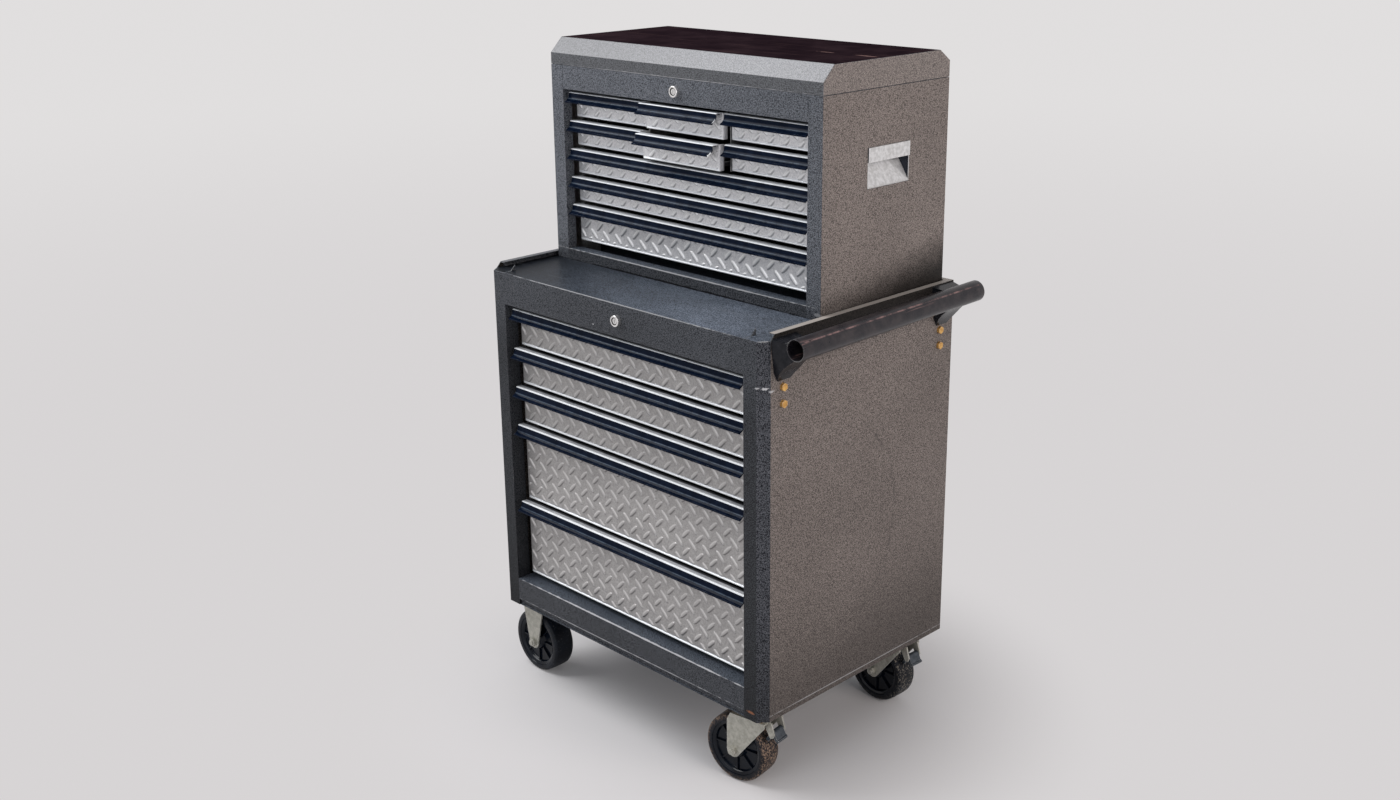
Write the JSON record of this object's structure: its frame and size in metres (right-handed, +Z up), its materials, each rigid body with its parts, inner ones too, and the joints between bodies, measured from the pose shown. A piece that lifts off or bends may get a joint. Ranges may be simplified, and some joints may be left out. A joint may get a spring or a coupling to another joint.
{
  "type": "tool chest on roller cabinet",
  "caption": "Rolling tool cabinet with tread-plate drawer fronts and a side push handle, carrying a lidded top chest with small and full-width drawers.",
  "frame": {"origin": "centre of the footprint of the whole object's bounding box, on the floor", "axes": "+Z up, +Y towards the back panel, so the drawers open towards -Y; +X towards the push handle"},
  "size_m": [0.7746, 0.496, 1.227],
  "materials": {
    "hammer_paint": "dark grey hammer-tone enamel, speckled, worn at the edges",
    "tread_plate": "pressed tread-plate pattern, satin zinc grey",
    "black_pull": "near-black semi-gloss enamel on a folded pull",
    "tube_paint": "black enamel, scuffed along the top",
    "drawer_paint": "dark grey enamel inside",
    "zinc": "bright zinc-plated sheet steel",
    "slide_zinc": "zinc-plated slide channels",
    "yellow_zinc": "yellow zinc-plated fasteners",
    "lock_chrome": "polished lock face",
    "caster_zinc": "zinc-plated caster pressing, dulled",
    "wheel_rubber": "black rubber tread on a black core, scuffed"
  },
  "bodies": {
    "cabinet": {"cab_shell": "hammer_paint", "cab_tray": "hammer_paint", "cab_base": "hammer_paint", "cab_slide_racks": "slide_zinc", "push_handle_tube": "tube_paint", "push_handle_brackets": "tube_paint", "m8_bolts": "yellow_zinc", "rigid_caster_forks": "caster_zinc", "rigid_caster_axles": "caster_zinc", "swivel_caster_plates": "caster_zinc", "lock_barrels": "lock_chrome", "chest_shell": "hammer_paint", "chest_header": "hammer_paint", "chest_base": "hammer_paint", "chest_till": "drawer_paint", "chest_slide_racks": "slide_zinc", "chest_side_handles": "zinc", "lid_hinge_body_leaf": "hammer_paint"},
    "lid": {"chest_lid": "hammer_paint", "lid_hinge_lid_leaf": "hammer_paint"},
    "cabinet_lock_plug": {"cab_lock_plug": "lock_chrome"},
    "chest_lock_plug": {"chest_lock_plug": "lock_chrome"},
    "swivel_front": {"swivel_fork_front": "caster_zinc", "swivel_axle_front": "caster_zinc"},
    "swivel_rear": {"swivel_fork_rear": "caster_zinc", "swivel_axle_rear": "caster_zinc"},
    "pedal_front": {"brake_pedal_front": "caster_zinc"},
    "pedal_rear": {"brake_pedal_rear": "caster_zinc"},
    "wheel_front_left": {"wheel_front_left": "wheel_rubber"},
    "wheel_front_right": {"wheel_front_right": "wheel_rubber"},
    "wheel_rear_left": {"wheel_rear_left": "wheel_rubber"},
    "wheel_rear_right": {"wheel_rear_right": "wheel_rubber"},
    "cab_drawer_1": {"cab_drawer_1_box": "drawer_paint", "cab_drawer_1_front": "tread_plate"},
    "cab_drawer_2": {"cab_drawer_2_box": "drawer_paint", "cab_drawer_2_front": "tread_plate"},
    "cab_drawer_3": {"cab_drawer_3_box": "drawer_paint", "cab_drawer_3_front": "tread_plate"},
    "cab_drawer_4": {"cab_drawer_4_box": "drawer_paint", "cab_drawer_4_front": "tread_plate"},
    "cab_drawer_5": {"cab_drawer_5_box": "drawer_paint", "cab_drawer_5_front": "tread_plate"},
    "chest_drawer_1a": {"chest_drawer_1a_box": "drawer_paint", "chest_drawer_1a_front": "tread_plate"},
    "chest_drawer_1b": {"chest_drawer_1b_box": "drawer_paint", "chest_drawer_1b_front": "tread_plate"},
    "chest_drawer_1c": {"chest_drawer_1c_box": "drawer_paint", "chest_drawer_1c_front": "tread_plate"},
    "chest_drawer_2a": {"chest_drawer_2a_box": "drawer_paint", "chest_drawer_2a_front": "tread_plate"},
    "chest_drawer_2b": {"chest_drawer_2b_box": "drawer_paint", "chest_drawer_2b_front": "tread_plate"},
    "chest_drawer_2c": {"chest_drawer_2c_box": "drawer_paint", "chest_drawer_2c_front": "tread_plate"},
    "chest_drawer_3": {"chest_drawer_3_box": "drawer_paint", "chest_drawer_3_front": "tread_plate"},
    "chest_drawer_4": {"chest_drawer_4_box": "drawer_paint", "chest_drawer_4_front": "tread_plate"},
    "chest_drawer_5": {"chest_drawer_5_box": "drawer_paint", "chest_drawer_5_front": "tread_plate"}
  },
  "joints": [
    {"name": "cab_drawer_1_slide", "type": "slide", "parent": "cabinet", "child": "cab_drawer_1", "axis": [0, -1, 0], "range_m": [0, 0.33]},
    {"name": "cab_drawer_2_slide", "type": "slide", "parent": "cabinet", "child": "cab_drawer_2", "axis": [0, -1, 0], "range_m": [0, 0.33]},
    {"name": "cab_drawer_3_slide", "type": "slide", "parent": "cabinet", "child": "cab_drawer_3", "axis": [0, -1, 0], "range_m": [0, 0.33]},
    {"name": "cab_drawer_4_slide", "type": "slide", "parent": "cabinet", "child": "cab_drawer_4", "axis": [0, -1, 0], "range_m": [0, 0.33]},
    {"name": "cab_drawer_5_slide", "type": "slide", "parent": "cabinet", "child": "cab_drawer_5", "axis": [0, -1, 0], "range_m": [0, 0.33]},
    {"name": "chest_drawer_1a_slide", "type": "slide", "parent": "cabinet", "child": "chest_drawer_1a", "axis": [0, -1, 0], "range_m": [0, 0.2]},
    {"name": "chest_drawer_1b_slide", "type": "slide", "parent": "cabinet", "child": "chest_drawer_1b", "axis": [0, -1, 0], "range_m": [-0.01, 0.19]},
    {"name": "chest_drawer_1c_slide", "type": "slide", "parent": "cabinet", "child": "chest_drawer_1c", "axis": [0, -1, 0], "range_m": [0, 0.2]},
    {"name": "chest_drawer_2a_slide", "type": "slide", "parent": "cabinet", "child": "chest_drawer_2a", "axis": [0, -1, 0], "range_m": [0, 0.2]},
    {"name": "chest_drawer_2b_slide", "type": "slide", "parent": "cabinet", "child": "chest_drawer_2b", "axis": [0, -1, 0], "range_m": [-0.019, 0.181]},
    {"name": "chest_drawer_2c_slide", "type": "slide", "parent": "cabinet", "child": "chest_drawer_2c", "axis": [0, -1, 0], "range_m": [0, 0.2]},
    {"name": "chest_drawer_3_slide", "type": "slide", "parent": "cabinet", "child": "chest_drawer_3", "axis": [0, -1, 0], "range_m": [0, 0.2]},
    {"name": "chest_drawer_4_slide", "type": "slide", "parent": "cabinet", "child": "chest_drawer_4", "axis": [0, -1, 0], "range_m": [0, 0.2]},
    {"name": "chest_drawer_5_slide", "type": "slide", "parent": "cabinet", "child": "chest_drawer_5", "axis": [0, -1, 0], "range_m": [0, 0.2]},
    {"name": "lid_hinge", "type": "hinge", "parent": "cabinet", "child": "lid", "pos_m": [-0.02275, 0.2379, 1.1803], "axis": [-1, 0, 0], "range_deg": [0, 88]},
    {"name": "cabinet_lock_turn", "type": "hinge", "parent": "cabinet", "child": "cabinet_lock_plug", "pos_m": [-0.01475, -0.24, 0.79], "axis": [0, 1, 0], "range_deg": [0, 90]},
    {"name": "chest_lock_turn", "type": "hinge", "parent": "cabinet", "child": "chest_lock_plug", "pos_m": [-0.02275, -0.088, 1.1585], "axis": [0, 1, 0], "range_deg": [0, 90]},
    {"name": "swivel_front_turn", "type": "hinge", "parent": "cabinet", "child": "swivel_front", "pos_m": [0.26725, -0.186, 0.142], "axis": [0, 0, 1], "continuous": true},
    {"name": "wheel_front_right_spin", "type": "hinge", "parent": "swivel_front", "child": "wheel_front_right", "pos_m": [0.22962, -0.19129, 0.0625], "axis": [0.1392, -0.9903, 0], "continuous": true},
    {"name": "pedal_front_press", "type": "hinge", "parent": "swivel_front", "child": "pedal_front", "pos_m": [0.30042, -0.18134, 0.1105], "axis": [-0.1392, 0.9903, 0], "range_deg": [0, 18]},
    {"name": "swivel_rear_turn", "type": "hinge", "parent": "cabinet", "child": "swivel_rear", "pos_m": [0.26725, 0.192, 0.142], "axis": [0, 0, 1], "continuous": true},
    {"name": "wheel_rear_right_spin", "type": "hinge", "parent": "swivel_rear", "child": "wheel_rear_right", "pos_m": [0.22927, 0.19333, 0.0625], "axis": [-0.0349, -0.9994, 0], "continuous": true},
    {"name": "pedal_rear_press", "type": "hinge", "parent": "swivel_rear", "child": "pedal_rear", "pos_m": [0.30073, 0.19083, 0.1105], "axis": [0.0349, 0.9994, 0], "range_deg": [0, 18]},
    {"name": "wheel_front_left_spin", "type": "hinge", "parent": "cabinet", "child": "wheel_front_left", "pos_m": [-0.32475, -0.182, 0.0625], "axis": [0, 1, 0], "continuous": true},
    {"name": "wheel_rear_left_spin", "type": "hinge", "parent": "cabinet", "child": "wheel_rear_left", "pos_m": [-0.32475, 0.188, 0.0625], "axis": [0, 1, 0], "continuous": true}
  ]
}
